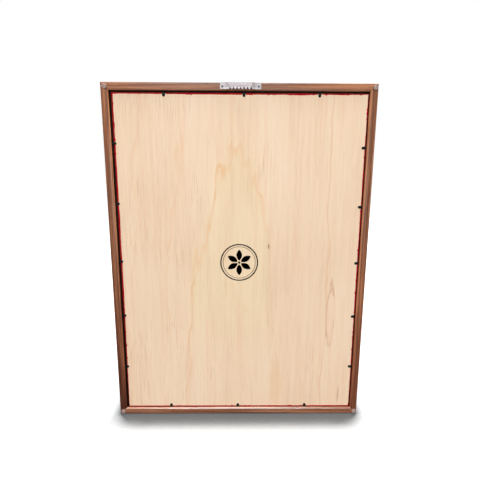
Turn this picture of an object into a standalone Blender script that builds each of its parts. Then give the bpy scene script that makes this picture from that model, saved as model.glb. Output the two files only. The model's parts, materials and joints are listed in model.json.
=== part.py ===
"""Wall display case for a folded flag: a walnut shadow box with a clear front and a plywood back.

Metres, +Z up. The clear front faces -Y and the back faces +Y, so +X is on the right as the case is
seen from the front. The origin is the centre of the underside, halfway between front and back.
"""

from math import copysign, cos, pi, radians, sin, sqrt

import bmesh
import bpy
from mathutils import Matrix

# Driving dimensions of the case
CASE_WIDTH = 0.4953
CASE_HEIGHT = 0.65405
CASE_DEPTH = 0.0889
RAIL_THICKNESS = 0.01905
RABBET_DEPTH = 0.00476
LIP_DEPTH = 0.00635
GAP = 0.0003

# Rounding of the rails' long edges
INNER_BACK_ROUND_WIDTH = 0.0050
INNER_BACK_ROUND_DEPTH = 0.0030
OUTER_BACK_RADIUS = 0.0020
FRONT_RADIUS = 0.0015
ROUND_SEGMENTS = 4

# Splines that lock the mitres
SPLINE_THICKNESS = 0.0030
SPLINE_WIDTH = 0.0080
SPLINE_LENGTH = 0.0600

# Layers, from the front to the back
GLAZING_THICKNESS = 0.0030
FELT_THICKNESS = 0.0015
FELT_RIM = 0.0002
PANEL_THICKNESS = 0.00635
PANEL_RECESS = 0.0060
PANEL_SIDE_CLEARANCE = 0.0029
PANEL_END_CLEARANCE = 0.00195
PANEL_SHIFT_X = -0.0010
PANEL_SHIFT_Z = -0.00115

# Dividers that make the flag's triangle and the space under it
DIVIDER_THICKNESS = 0.0127

# Flexible points, driven into the rabbet's wall over the panel
POINT_WIDTH = 0.0048
POINT_THICKNESS = 0.0005
POINT_LENGTH = 0.0156
POINT_BEND = 0.00115
POINT_BEND_GAP = 0.00015
POINT_STUB = 0.0008
POINT_TIP_STEPS = 6
POINT_SKEW = radians(6)
POINT_SKEW_STEP = 2.4
# Each row was driven by hand: how many points, their pitch, how far the row sits off its rail's middle,
# and how far the points reach out of the wood
POINT_ROWS = {
    "bottom": (3, 0.1400, 0.0018, 0.0054),
    "right": (5, 0.1112, 0.0, 0.0070),
    "top": (3, 0.1407, 0.0038, 0.0084),
    "left": (5, 0.1098, 0.0033, 0.0074),
}
TOP_MIDDLE_SHIFT = 0.0035

# Sawtooth hanger and its nails
HANGER_LENGTH = 0.0730
HANGER_HEIGHT = 0.0110
HANGER_THICKNESS = 0.0009
HANGER_LIFT = 0.0016
HANGER_FOOT = 0.0110
HANGER_RAMP = 0.0030
HANGER_X = -0.0013
HANGER_TOP_GAP = 0.0004
NAIL_SPACING = 0.0648
NAIL_HEIGHT_FROM_TOP = 0.0070
NAIL_RADIUS = 0.0007
NAIL_LENGTH = 0.0095
NAIL_HEAD_RADIUS = 0.0019
NAIL_HEAD_HEIGHT = 0.0008
NOTCH_COUNT = 7
NOTCH_PITCH = 0.0062
NOTCH_MOUTH = 0.0042
NOTCH_ROOF = 0.0014
NOTCH_HEIGHT = 0.0023

# Bumpers at the corners of the back
BUMPER_RADIUS = 0.00476
BUMPER_TOP_RADIUS = 0.0028
BUMPER_HEIGHT = 0.0030
BUMPER_EDGE_HEIGHT = 0.0010
# Stuck on by hand: how far each bumper's middle is in from the outer side face and from the end
BUMPER_INSETS = {
    "bottom_left": (0.0058, 0.0064),
    "bottom_right": (0.0070, 0.0068),
    "top_left": (0.0058, 0.0074),
    "top_right": (0.0080, 0.0078),
}

# Places that follow from the driving dimensions
BACK_Y = CASE_DEPTH / 2
FRONT_Y = -BACK_Y
LIP_Y = FRONT_Y + LIP_DEPTH
WALL = RAIL_THICKNESS - RABBET_DEPTH
GLAZING_BACK_Y = LIP_Y + GAP + GLAZING_THICKNESS
PANEL_OUTER_Y = BACK_Y - PANEL_RECESS
PANEL_INNER_Y = PANEL_OUTER_Y - PANEL_THICKNESS
FELT_FRONT_Y = PANEL_INNER_Y - GAP - FELT_THICKNESS
LINER_FRONT_Y = GLAZING_BACK_Y + GAP
LINER_BACK_Y = FELT_FRONT_Y - GAP
RABBET_WIDTH = CASE_WIDTH - 2 * WALL
RABBET_HEIGHT = CASE_HEIGHT - 2 * WALL
PANEL_WIDTH = RABBET_WIDTH - 2 * PANEL_SIDE_CLEARANCE
PANEL_HEIGHT = RABBET_HEIGHT - 2 * PANEL_END_CLEARANCE
PANEL_X = PANEL_SHIFT_X
PANEL_Z = CASE_HEIGHT / 2 + PANEL_SHIFT_Z
POINT_Y = PANEL_OUTER_Y + GAP + POINT_THICKNESS / 2

WALNUT = ("walnut", (0.20, 0.085, 0.042), 0.45, 0.0)
BIRCH = ("birch_plywood", (0.80, 0.60, 0.40), 0.55, 0.0)
SPLINE_BIRCH = ("spline_birch", (0.70, 0.52, 0.34), 0.60, 0.0)
ACRYLIC = ("clear_acrylic", (0.90, 0.95, 0.97), 0.05, 0.0)
FELT = ("red_felt", (0.42, 0.012, 0.022), 0.95, 0.0)
ZINC = ("zinc_plate", (0.62, 0.62, 0.64), 0.35, 1.0)
POINT_STEEL = ("black_point_steel", (0.012, 0.012, 0.014), 0.45, 0.6)
BUMPER_RUBBER = ("clear_bumper", (0.62, 0.50, 0.46), 0.30, 0.0)


def clear_scene():
    """Removes whatever objects the file opened with."""
    for existing in list(bpy.data.objects):
        bpy.data.objects.remove(existing, do_unlink=True)


def new_collection(name):
    """Makes a collection under the scene's own."""
    collection = bpy.data.collections.new(name)
    bpy.context.scene.collection.children.link(collection)
    return collection


def finish_material(finish):
    """Returns the Principled material for a (name, colour, roughness, metallic) finish."""
    name, colour, roughness, metallic = finish
    found = bpy.data.materials.get(name)
    if found:
        return found
    made = bpy.data.materials.new(name)
    made.use_nodes = True
    shader = made.node_tree.nodes["Principled BSDF"]
    shader.inputs["Base Color"].default_value = (*colour, 1.0)
    shader.inputs["Roughness"].default_value = roughness
    shader.inputs["Metallic"].default_value = metallic
    return made


def place(name, mesh, finish, location=(0, 0, 0), rotation=(0, 0, 0), parent=None):
    """Adds one part to the case."""
    part = bpy.data.objects.new(name, mesh)
    case_parts.objects.link(part)
    part.location = location
    part.rotation_euler = rotation
    part.parent = parent
    mesh.materials.clear()
    mesh.materials.append(finish_material(finish))
    return part


def place_cutter(name, mesh, location=(0, 0, 0), rotation=(0, 0, 0), parent=None):
    """Adds a shape that only cuts others."""
    cutter = bpy.data.objects.new(name, mesh)
    cutters.objects.link(cutter)
    cutter.location = location
    cutter.rotation_euler = rotation
    cutter.parent = parent
    cutter.hide_render = True
    cutter.display_type = "WIRE"
    return cutter


def place_empty(name, location, rotation, parent=None):
    """Adds an empty that carries other objects."""
    empty = bpy.data.objects.new(name, None)
    case_parts.objects.link(empty)
    empty.location = location
    empty.rotation_euler = rotation
    empty.parent = parent
    empty.empty_display_size = 0.01
    return empty


def cut(part, cutter):
    """Subtracts a cutter from a part."""
    boolean = part.modifiers.new("cut_" + cutter.name, "BOOLEAN")
    boolean.operation = "DIFFERENCE"
    boolean.object = cutter


def block(name, size, centre=(0, 0, 0), edge_radius=0.0):
    """Returns a box's mesh, with its edges rounded where a radius is given."""
    mesh = bpy.data.meshes.new(name)
    shape = bmesh.new()
    bmesh.ops.create_cube(shape, size=1.0)
    bmesh.ops.scale(shape, vec=size, verts=shape.verts)
    bmesh.ops.translate(shape, vec=centre, verts=shape.verts)
    if edge_radius:
        bmesh.ops.bevel(
            shape, geom=shape.edges[:], offset=edge_radius, segments=1, affect="EDGES", profile=0.5
        )
    shape.to_mesh(mesh)
    shape.free()
    return mesh


def between(name, low, high, edge_radius=0.0):
    """Returns a box's mesh that reaches from its lowest corner to its highest one."""
    size = [b - a for a, b in zip(low, high)]
    centre = [(a + b) / 2 for a, b in zip(low, high)]
    return block(name, size, centre, edge_radius)


def outline_mesh(name, outline, thickness):
    """Returns a flat outline in X and Y, made solid by a thickness along Z."""
    curve = bpy.data.curves.new(name + "_outline", "CURVE")
    curve.dimensions = "2D"
    curve.fill_mode = "BOTH"
    curve.extrude = thickness / 2
    spline = curve.splines.new("POLY")
    spline.points.add(len(outline) - 1)
    for point, (x, y) in zip(spline.points, outline):
        point.co = (x, y, 0, 1)
    spline.use_cyclic_u = True
    guide = bpy.data.objects.new(name + "_outline", curve)
    bpy.context.scene.collection.objects.link(guide)
    evaluated = guide.evaluated_get(bpy.context.evaluated_depsgraph_get())
    mesh = bpy.data.meshes.new_from_object(evaluated)
    mesh.name = name
    bpy.data.objects.remove(guide, do_unlink=True)
    shape = bmesh.new()
    shape.from_mesh(mesh)
    bmesh.ops.remove_doubles(shape, verts=shape.verts, dist=0.00001)
    bmesh.ops.recalc_face_normals(shape, faces=shape.faces)
    shape.to_mesh(mesh)
    shape.free()
    return mesh


def arc(centre_x, centre_y, radius, start, end, segments, height=None):
    """Returns the points of an arc between two angles in degrees; a height makes it elliptical."""
    rise = radius if height is None else height
    points = []
    for step in range(segments + 1):
        angle = radians(start + (end - start) * step / segments)
        points.append((centre_x + radius * cos(angle), centre_y + rise * sin(angle)))
    return points


def turned(name, profile, steps, finish, location, rotation, parent=None):
    """Turns a profile of (radius, height) points, listed from top to bottom, about local Z."""
    mesh = bpy.data.meshes.new(name)
    shape = bmesh.new()
    ring = [shape.verts.new((radius, 0, height)) for radius, height in profile]
    for first, second in zip(ring, ring[1:]):
        shape.edges.new((first, second))
    shape.to_mesh(mesh)
    shape.free()
    part = place(name, mesh, finish, location, rotation, parent)
    screw = part.modifiers.new("turn", "SCREW")
    screw.axis = "Z"
    screw.steps = steps
    screw.render_steps = steps
    screw.use_merge_vertices = True
    screw.merge_threshold = 0.00001
    screw.use_smooth_shade = True
    return part


def rail_mesh(name, length):
    """Returns a mitred rail: length along X, depth along Y, and Z inward from its outer face."""
    outline = []
    outline += arc(OUTER_BACK_RADIUS, BACK_Y - OUTER_BACK_RADIUS, OUTER_BACK_RADIUS, 180, 90, ROUND_SEGMENTS)
    inner = (WALL - INNER_BACK_ROUND_WIDTH, BACK_Y - INNER_BACK_ROUND_DEPTH)
    outline += arc(*inner, INNER_BACK_ROUND_WIDTH, 90, 0, ROUND_SEGMENTS, INNER_BACK_ROUND_DEPTH)
    outline += [(WALL, LIP_Y), (RAIL_THICKNESS, LIP_Y)]
    inner_front_x = RAIL_THICKNESS - FRONT_RADIUS
    outline += arc(inner_front_x, FRONT_Y + FRONT_RADIUS, FRONT_RADIUS, 0, -90, ROUND_SEGMENTS)
    outline += arc(FRONT_RADIUS, FRONT_Y + FRONT_RADIUS, FRONT_RADIUS, -90, -180, ROUND_SEGMENTS)
    mesh = outline_mesh(name, outline, length)
    mesh.transform(Matrix.Rotation(radians(-90), 4, "Y"))
    mitre_gap = GAP / 2 * sqrt(2)
    for vertex in mesh.vertices:
        vertex.co.x = copysign(length / 2 - vertex.co.z - mitre_gap, vertex.co.x)
    return mesh


def build_sides():
    """Makes an empty for each side, with X along the side and Z inward, and the rail on it."""
    layout = {
        "bottom": ((0, 0, 0), 0, CASE_WIDTH),
        "right": ((CASE_WIDTH / 2, 0, CASE_HEIGHT / 2), -90, CASE_HEIGHT),
        "top": ((0, 0, CASE_HEIGHT), 180, CASE_WIDTH),
        "left": ((-CASE_WIDTH / 2, 0, CASE_HEIGHT / 2), 90, CASE_HEIGHT),
    }
    sides = {}
    for side, (location, turn, length) in layout.items():
        base = place_empty("side_" + side, location, (0, radians(turn), 0))
        rail = place("rail_" + side, rail_mesh("rail_" + side, length), WALNUT, parent=base)
        sides[side] = (base, rail, length)
    return sides


def build_splines(sides):
    """Locks each mitre with a hidden spline that crosses it, halfway along its diagonal."""
    corners = {
        "bottom_right": ("bottom", "right", 1, 1),
        "top_right": ("top", "right", 1, -1),
        "top_left": ("top", "left", -1, -1),
        "bottom_left": ("bottom", "left", -1, 1),
    }
    inset = WALL / 2
    for corner, (across, upright, toward_x, toward_z) in corners.items():
        x = toward_x * (CASE_WIDTH / 2 - inset)
        z = CASE_HEIGHT / 2 - toward_z * (CASE_HEIGHT / 2 - inset)
        turn = (0, radians(45 * toward_x * toward_z), 0)
        size = (SPLINE_THICKNESS, SPLINE_LENGTH, SPLINE_WIDTH)
        slot = [length + 2 * GAP for length in size]
        place("spline_" + corner, block("spline_" + corner, size), SPLINE_BIRCH, (x, 0, z), turn)
        cutter = place_cutter("slot_" + corner, block("slot_" + corner, slot), (x, 0, z), turn)
        cut(sides[across][1], cutter)
        cut(sides[upright][1], cutter)


def build_glazing():
    """Makes the clear sheet that lies behind the rails' front lip."""
    low = (-RABBET_WIDTH / 2 + GAP, LIP_Y + GAP, WALL + GAP)
    high = (RABBET_WIDTH / 2 - GAP, GLAZING_BACK_Y, CASE_HEIGHT - WALL - GAP)
    place("front_glazing", between("front_glazing", low, high), ACRYLIC)


def build_liners():
    """Makes the four strips that hold the glazing forward and carry the back panel."""
    inner = RAIL_THICKNESS
    outer = WALL + GAP
    half = CASE_WIDTH / 2
    top = CASE_HEIGHT
    across = ((-half + outer, half - outer), (outer, inner), (top - inner, top - outer))
    strips = {
        "liner_bottom": (across[0], across[1]),
        "liner_top": (across[0], across[2]),
        "liner_left": ((-half + outer, -half + inner), (inner + GAP, top - inner - GAP)),
        "liner_right": ((half - inner, half - outer), (inner + GAP, top - inner - GAP)),
    }
    for name, ((x_low, x_high), (z_low, z_high)) in strips.items():
        low = (x_low, LINER_FRONT_Y, z_low)
        high = (x_high, LINER_BACK_Y, z_high)
        place(name, between(name, low, high), WALNUT)


def build_dividers():
    """Makes the shelf and the two sloping rails that hold a flag folded to a triangle."""
    half_span = CASE_WIDTH / 2 - RAIL_THICKNESS - GAP
    depth = LINER_BACK_Y - LINER_FRONT_Y
    middle_y = (LINER_BACK_Y + LINER_FRONT_Y) / 2
    plumb = DIVIDER_THICKNESS * sqrt(2)
    apex = CASE_HEIGHT - RAIL_THICKNESS - GAP
    foot = apex - plumb - half_span
    shelf_top = foot - GAP
    low = (-half_span, LINER_FRONT_Y, shelf_top - DIVIDER_THICKNESS)
    high = (half_span, LINER_BACK_Y, shelf_top)
    place("flag_shelf", between("flag_shelf", low, high), WALNUT)
    for name, way in (("flag_rail_right", 1), ("flag_rail_left", -1)):
        near = GAP / 2
        outline = [
            (way * half_span, foot),
            (way * half_span, foot + plumb),
            (way * near, apex - near),
            (way * near, apex - plumb - near),
        ]
        mesh = outline_mesh(name, outline, depth)
        mesh.transform(Matrix.Rotation(radians(90), 4, "X"))
        place(name, mesh, WALNUT, (0, middle_y, 0))


def build_back():
    """Makes the plywood panel and the felt under it, whose rim turns up round the panel's edge."""
    panel_low = (PANEL_X - PANEL_WIDTH / 2, PANEL_INNER_Y, PANEL_Z - PANEL_HEIGHT / 2)
    panel_high = (PANEL_X + PANEL_WIDTH / 2, PANEL_OUTER_Y, PANEL_Z + PANEL_HEIGHT / 2)
    place("backing_board", between("backing_board", panel_low, panel_high), BIRCH)
    outset = GAP + FELT_RIM
    felt_low = (panel_low[0] - outset, FELT_FRONT_Y, panel_low[2] - outset)
    felt_high = (panel_high[0] + outset, PANEL_OUTER_Y, panel_high[2] + outset)
    felt = place("backing_felt", between("backing_felt", felt_low, felt_high), FELT)
    tray_low = (panel_low[0] - GAP, PANEL_INNER_Y - GAP, panel_low[2] - GAP)
    tray_high = (panel_high[0] + GAP, PANEL_OUTER_Y + FELT_THICKNESS, panel_high[2] + GAP)
    cut(felt, place_cutter("felt_tray", between("felt_tray", tray_low, tray_high)))


def tab_mesh(reach):
    """Returns the free end of a point: Z is inward over the panel, from the bend to a round tip."""
    half = POINT_WIDTH / 2
    tip = reach - POINT_BEND
    outline = [(half, POINT_BEND_GAP)]
    outline += arc(0, tip - half, half, 0, 180, POINT_TIP_STEPS)
    outline += [(-half, POINT_BEND_GAP)]
    mesh = outline_mesh("point_tab", outline, POINT_THICKNESS)
    mesh.transform(Matrix.Rotation(radians(90), 4, "X"))
    return mesh


def shank_mesh(reach):
    """Returns the driven end of a point, with its cutting tip inside the rail."""
    half = POINT_WIDTH / 2
    stub = POINT_STUB - POINT_BEND
    deep = reach - POINT_LENGTH - POINT_BEND
    outline = [(-half, stub), (-half, deep + half), (0, deep), (half, deep + half), (half, stub)]
    mesh = outline_mesh("point_shank", outline, POINT_THICKNESS)
    mesh.transform(Matrix.Rotation(radians(90), 4, "X"))
    return mesh


def point_slot_mesh(reach):
    """Returns the kerf that a driven point leaves in the rail, a little larger than its shank."""
    embedded = POINT_LENGTH - reach
    size = (POINT_WIDTH + 2 * GAP, POINT_THICKNESS + 2 * GAP, embedded + 2 * GAP)
    centre_z = -POINT_BEND - embedded / 2
    return block("point_slot", size, (0, 0, centre_z))


def build_points(sides):
    """Sets the flexible points round the rabbet, in a row along each side."""
    serial = 0
    for side, (base, rail, length) in sides.items():
        count, pitch, shift, reach = POINT_ROWS[side]
        tab = tab_mesh(reach)
        shank = shank_mesh(reach)
        slot = point_slot_mesh(reach)
        for index in range(count):
            along = shift + (index - (count - 1) / 2) * pitch
            if side == "top" and index == count // 2:
                along += TOP_MIDDLE_SHIFT
            skew = POINT_SKEW * sin(POINT_SKEW_STEP * serial)
            name = "point_%s_%d" % (side, index + 1)
            bend = place_empty(name + "_bend", (along, POINT_Y, WALL + POINT_BEND), (0, skew, 0), base)
            place(name + "_tab", tab, POINT_STEEL, parent=bend)
            place(name + "_shank", shank, POINT_STEEL, parent=bend)
            cut(rail, place_cutter(name + "_slot", slot, parent=bend))
            serial += 1


def hanger_mesh():
    """Returns the hanger's strip: flat feet at its ends and a middle that stands off the wood."""
    half = HANGER_LENGTH / 2
    foot = half - HANGER_FOOT
    raised = foot - HANGER_RAMP
    low = 0.0
    high = HANGER_LIFT
    under = [(-half, low), (-foot, low), (-raised, high), (raised, high), (foot, low), (half, low)]
    over = [(x, y + HANGER_THICKNESS) for x, y in reversed(under)]
    return outline_mesh("sawtooth_hanger", under + over, HANGER_HEIGHT)


def notch_comb_mesh():
    """Returns the comb that cuts the notches into the hanger's lower edge."""
    below = 0.001
    widen = (NOTCH_MOUTH - NOTCH_ROOF) / 2 / NOTCH_HEIGHT * below / 2
    outline = []
    for index in range(NOTCH_COUNT):
        middle = (index - (NOTCH_COUNT - 1) / 2) * NOTCH_PITCH
        outline += [
            (middle - NOTCH_MOUTH / 2 - widen, -below / 2),
            (middle - NOTCH_ROOF / 2, NOTCH_HEIGHT),
            (middle + NOTCH_ROOF / 2, NOTCH_HEIGHT),
            (middle + NOTCH_MOUTH / 2 + widen, -below / 2),
        ]
    outline += [(outline[-1][0], -below), (outline[0][0], -below)]
    mesh = outline_mesh("notch_comb", outline, 4 * (HANGER_LIFT + HANGER_THICKNESS))
    mesh.transform(Matrix.Rotation(radians(90), 4, "X"))
    return mesh


def bore_cutter(name, radius, length, location):
    """Adds a round cutter along Y."""
    mesh = bpy.data.meshes.new(name)
    shape = bmesh.new()
    bmesh.ops.create_cone(
        shape, cap_ends=True, segments=16, radius1=radius, radius2=radius, depth=length
    )
    shape.to_mesh(mesh)
    shape.free()
    return place_cutter(name, mesh, location, (radians(90), 0, 0))


def build_hanger(top_rail):
    """Nails the sawtooth hanger to the middle of the top rail's back face."""
    bottom_z = CASE_HEIGHT - HANGER_TOP_GAP - HANGER_HEIGHT
    foot_y = BACK_Y + GAP
    centre_z = bottom_z + HANGER_HEIGHT / 2
    hanger = place("sawtooth_hanger", hanger_mesh(), ZINC, (HANGER_X, foot_y, centre_z))
    cut(hanger, place_cutter("notch_comb", notch_comb_mesh(), (HANGER_X, foot_y, bottom_z)))
    head_y = foot_y + HANGER_THICKNESS + GAP
    nail_z = CASE_HEIGHT - NAIL_HEIGHT_FROM_TOP
    dome = arc(0, 0, 1, 90, 0, ROUND_SEGMENTS)
    profile = [(NAIL_HEAD_RADIUS * across, NAIL_HEAD_HEIGHT * up) for across, up in dome]
    profile[0] = (0, NAIL_HEAD_HEIGHT)
    profile += [
        (NAIL_RADIUS, 0),
        (NAIL_RADIUS, NAIL_RADIUS * 3 - NAIL_LENGTH),
        (0, -NAIL_LENGTH),
    ]
    for name, way in (("hanger_nail_right", 1), ("hanger_nail_left", -1)):
        nail_x = HANGER_X + way * NAIL_SPACING / 2
        turned(name, profile, 12, ZINC, (nail_x, head_y, nail_z), (radians(-90), 0, 0))
        reach = 2 * (NAIL_LENGTH + GAP)
        bore = bore_cutter(name + "_hole", NAIL_RADIUS + GAP, reach, (nail_x, head_y, nail_z))
        cut(hanger, bore)
        cut(top_rail, bore)


def build_bumpers():
    """Sets a soft bumper on the back face near each corner."""
    shoulder = BUMPER_RADIUS - BUMPER_TOP_RADIUS
    rise = BUMPER_HEIGHT - BUMPER_EDGE_HEIGHT
    rounding = arc(0, 0, 1, 90, 0, ROUND_SEGMENTS)
    profile = [(0, BUMPER_HEIGHT)]
    profile += [
        (BUMPER_TOP_RADIUS + shoulder * across, BUMPER_EDGE_HEIGHT + rise * up) for across, up in rounding
    ]
    profile += [(BUMPER_RADIUS, 0), (0, 0)]
    for corner, (inset_x, inset_z) in BUMPER_INSETS.items():
        way = 1 if corner.endswith("right") else -1
        x = way * (CASE_WIDTH / 2 - inset_x)
        z = CASE_HEIGHT - inset_z if corner.startswith("top") else inset_z
        turned("bumper_" + corner, profile, 24, BUMPER_RUBBER, (x, BACK_Y + GAP, z), (radians(-90), 0, 0))


clear_scene()
case_parts = new_collection("flag_display_case")
cutters = new_collection("cutters")
case_sides = build_sides()
build_splines(case_sides)
build_glazing()
build_liners()
build_dividers()
build_back()
build_points(case_sides)
build_hanger(case_sides["top"][1])
build_bumpers()
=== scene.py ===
"""Looks for the folded flag display case: walnut shadow box, plywood back, red felt, clear front.

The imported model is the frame, and positions come from its nodes' boxes. Lengths are in metres and +Z is up.
The back, which the camera looks at, faces +Y. Materials measure in millimetres from the row frame's origin,
which is on the floor under the middle of the case.
"""

import json
from math import cos, pi, radians, sin, sqrt

import bmesh
import bpy
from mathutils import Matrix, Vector, noise


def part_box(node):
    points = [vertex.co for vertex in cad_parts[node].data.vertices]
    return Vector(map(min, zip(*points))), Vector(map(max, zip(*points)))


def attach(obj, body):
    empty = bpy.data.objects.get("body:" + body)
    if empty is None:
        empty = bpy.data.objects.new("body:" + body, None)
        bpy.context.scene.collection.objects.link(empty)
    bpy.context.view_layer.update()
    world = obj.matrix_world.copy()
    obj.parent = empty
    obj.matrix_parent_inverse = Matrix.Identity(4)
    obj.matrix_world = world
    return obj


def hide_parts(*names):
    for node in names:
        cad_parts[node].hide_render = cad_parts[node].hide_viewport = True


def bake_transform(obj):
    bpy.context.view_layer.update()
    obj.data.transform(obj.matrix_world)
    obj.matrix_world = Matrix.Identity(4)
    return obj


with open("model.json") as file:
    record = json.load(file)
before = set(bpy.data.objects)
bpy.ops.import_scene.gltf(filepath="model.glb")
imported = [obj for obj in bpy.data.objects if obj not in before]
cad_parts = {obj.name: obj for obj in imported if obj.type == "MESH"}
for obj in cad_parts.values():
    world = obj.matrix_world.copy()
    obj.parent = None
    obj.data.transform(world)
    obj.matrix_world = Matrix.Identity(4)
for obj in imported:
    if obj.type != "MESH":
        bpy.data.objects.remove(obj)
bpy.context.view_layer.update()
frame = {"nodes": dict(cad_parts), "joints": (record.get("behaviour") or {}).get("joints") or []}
MM = 0.001


# ---------------------------------------- places taken from the frame

CASE_LOW, CASE_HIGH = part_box("rail_left")[0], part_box("rail_right")[1]
CENTRE_Z = (CASE_LOW.z + CASE_HIGH.z) / 2
CASE_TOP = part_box("rail_top")[1].z
BACK_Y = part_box("rail_top")[1].y
FRONT_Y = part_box("rail_top")[0].y
HALF_WIDTH = -CASE_LOW.x
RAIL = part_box("rail_bottom")[1].z
GLAZING_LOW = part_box("front_glazing")[0]
GLAZING_GAP = 0.3 * MM
LIP_Y = GLAZING_LOW.y - GLAZING_GAP
WALL = GLAZING_LOW.z - GLAZING_GAP
PANEL_LOW, PANEL_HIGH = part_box("backing_board")
FELT_LOW, FELT_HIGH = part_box("backing_felt")
HANGER_LOW, HANGER_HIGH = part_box("sawtooth_hanger")
HANGER_X = (HANGER_LOW.x + HANGER_HIGH.x) / 2

# The places that the materials use, in millimetres.
BACK_MM = BACK_Y / MM
RECESS_MM = PANEL_LOW.y / MM
HALF_WIDTH_MM = HALF_WIDTH / MM
HALF_HEIGHT_MM = CASE_TOP / MM / 2
HANGER_X_MM = HANGER_X / MM
HANGER_FOOT_MM = HANGER_LOW.z / MM
HANGER_TOP_MM = HANGER_HIGH.z / MM


# ---------------------------------------- node helper


class Shader:
    """Builds a material's nodes. Inputs are values or other nodes' sockets."""

    def __init__(self, name):
        self.material = bpy.data.materials.new(name)
        self.material.use_nodes = True
        self.nodes = self.material.node_tree.nodes
        self.links = self.material.node_tree.links
        self.nodes.clear()

    def add(self, kind, inputs=None, **settings):
        """A node of a kind, with its settings and its inputs filled in or linked."""
        node = self.nodes.new(kind)
        for key, value in settings.items():
            setattr(node, key, value)
        for key, value in (inputs or {}).items():
            if isinstance(value, bpy.types.NodeSocket):
                self.links.new(value, node.inputs[key])
            else:
                node.inputs[key].default_value = value
        return node

    def math(self, operation, a, b=0.0):
        return self.add("ShaderNodeMath", {0: a, 1: b}, operation=operation).outputs[0]

    def times(self, first, *others):
        """The product of some values."""
        product = first
        for value in others:
            product = self.math("MULTIPLY", product, value)
        return product

    def total(self, first, *others):
        """The sum of the products of some pairs, such as values and their weights."""
        result = self.times(*first)
        for pair in others:
            result = self.math("ADD", result, self.times(*pair))
        return result

    def centred(self, value):
        """A noise's value, moved so that it lies about 0 instead of about a half."""
        return self.math("SUBTRACT", value, 0.5)

    def place(self):
        """The point in the row frame, in millimetres."""
        spot = self.add("ShaderNodeTexCoord").outputs["Object"]
        scaled = self.add("ShaderNodeVectorMath", {0: spot, "Scale": 1000.0}, operation="SCALE")
        return scaled.outputs[0]

    def axes(self, vector):
        """A vector's x, y and z."""
        outputs = self.add("ShaderNodeSeparateXYZ", {0: vector}).outputs
        return outputs[0], outputs[1], outputs[2]

    def facing(self):
        """The x, y and z of the way that the surface faces."""
        return self.axes(self.add("ShaderNodeNewGeometry").outputs["Normal"])

    def turned(self, vector, angle, seed):
        """The point turned about Y so that the grain runs along X, and moved by a seed."""
        turn = self.add(
            "ShaderNodeVectorRotate",
            {"Vector": vector, "Axis": (0, 1, 0), "Angle": angle},
            rotation_type="AXIS_ANGLE",
        )
        shift = (137.0 * seed, 71.0 * seed, 53.0 * seed)
        return self.add("ShaderNodeVectorMath", {0: turn.outputs[0], 1: shift}, operation="ADD").outputs[0]

    def stretched(self, vector, sizes):
        """The point divided by a size in millimetres along each axis."""
        scale = tuple(1.0 / size for size in sizes)
        return self.add("ShaderNodeVectorMath", {0: vector, 1: scale}, operation="MULTIPLY").outputs[0]

    def noise(self, vector, sizes, detail=2.0, roughness=0.5, distortion=0.0):
        inputs = {
            "Vector": self.stretched(vector, sizes),
            "Scale": 1.0,
            "Detail": detail,
            "Roughness": roughness,
            "Distortion": distortion,
        }
        return self.add("ShaderNodeTexNoise", inputs).outputs[0]

    def band(self, value, low, high, to_low=0.0, to_high=1.0):
        """A value between low and high, eased to run between two others."""
        inputs = {"Value": value, 1: low, 2: high, 3: to_low, 4: to_high}
        return self.add("ShaderNodeMapRange", inputs, interpolation_type="SMOOTHSTEP").outputs[0]

    def ramp(self, value, stops):
        """A colour from a list of (place, colour) stops."""
        node = self.add("ShaderNodeValToRGB", {0: value})
        elements = node.color_ramp.elements
        while len(elements) < len(stops):
            elements.new(0.5)
        for element, (place, colour) in zip(elements, stops):
            element.position = place
            element.color = (*colour, 1.0)
        return node.outputs[0]

    def mix(self, share, a, b, blend="MIX"):
        """Two colours blended by a share."""
        a = a if isinstance(a, bpy.types.NodeSocket) else (*a, 1.0)
        b = b if isinstance(b, bpy.types.NodeSocket) else (*b, 1.0)
        node = self.add("ShaderNodeMix", {0: share, 6: a, 7: b}, data_type="RGBA", blend_type=blend)
        return node.outputs[2]

    def tinted(self, colour, red, green=None, blue=None):
        """A colour times a shade, or times a factor for each of its channels."""
        factors = {0: red, 1: green or red, 2: blue or red}
        return self.mix(1.0, colour, self.add("ShaderNodeCombineColor", factors).outputs[0], "MULTIPLY")

    def bump(self, height, distance, strength=1.0):
        """A normal from a height between 0 and 1, over a distance in metres."""
        inputs = {"Height": height, "Distance": distance, "Strength": strength}
        return self.add("ShaderNodeBump", inputs).outputs[0]

    def oval(self, x, z, centre, half):
        """How far out a point is from an upright oval's middle: 1 on its rim."""
        across = self.math("DIVIDE", self.math("SUBTRACT", x, centre[0]), half[0])
        up = self.math("DIVIDE", self.math("SUBTRACT", z, centre[1]), half[1])
        return self.math("SQRT", self.total((across, across), (up, up)))

    def finish(self, inputs):
        """Ends the material in a Principled shader with these inputs."""
        surface = self.add("ShaderNodeBsdfPrincipled", inputs).outputs[0]
        self.add("ShaderNodeOutputMaterial", {"Surface": surface})
        return self.material


# ---------------------------------------- walnut

# In millimetres: heights between which the back edge's painted shade and painted light change,
# depths between which the back edge's painted shading and lacquer begin, and how far in from the outer
# faces the recess's painted shade and painted highlight begin.
PAINTED_SHADE_HEIGHTS = (0.0, 320.0)
PAINTED_LIGHT_HEIGHTS = (400.0, 640.0)
BACK_EDGE_DEPTHS = (BACK_MM - 24.0, BACK_MM - 4.0)
INSIDE_RIM = (6.0, 8.0)
# How much redder the painted shade makes the wood, and how much paler the painted light makes it, as powers
# of it.
GREEN_POWER = 1.35
BLUE_POWER = 1.5
# How far a surface has turned inward, as a share, where the inner back rounding's painted highlight
# starts and where it is full.
EDGE_HIGHLIGHT_TURN = (0.15, 0.55)
# Colours of the painted shade on the recess's walls and behind the hanger's notches, and how much lacquer
# lies away from the back edge.
RECESS_PAINTED_SHADE = (0.010, 0.005, 0.004)
UNDER_HANGER = (0.020, 0.008, 0.005)
COAT_ELSEWHERE = 0.2


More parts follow.
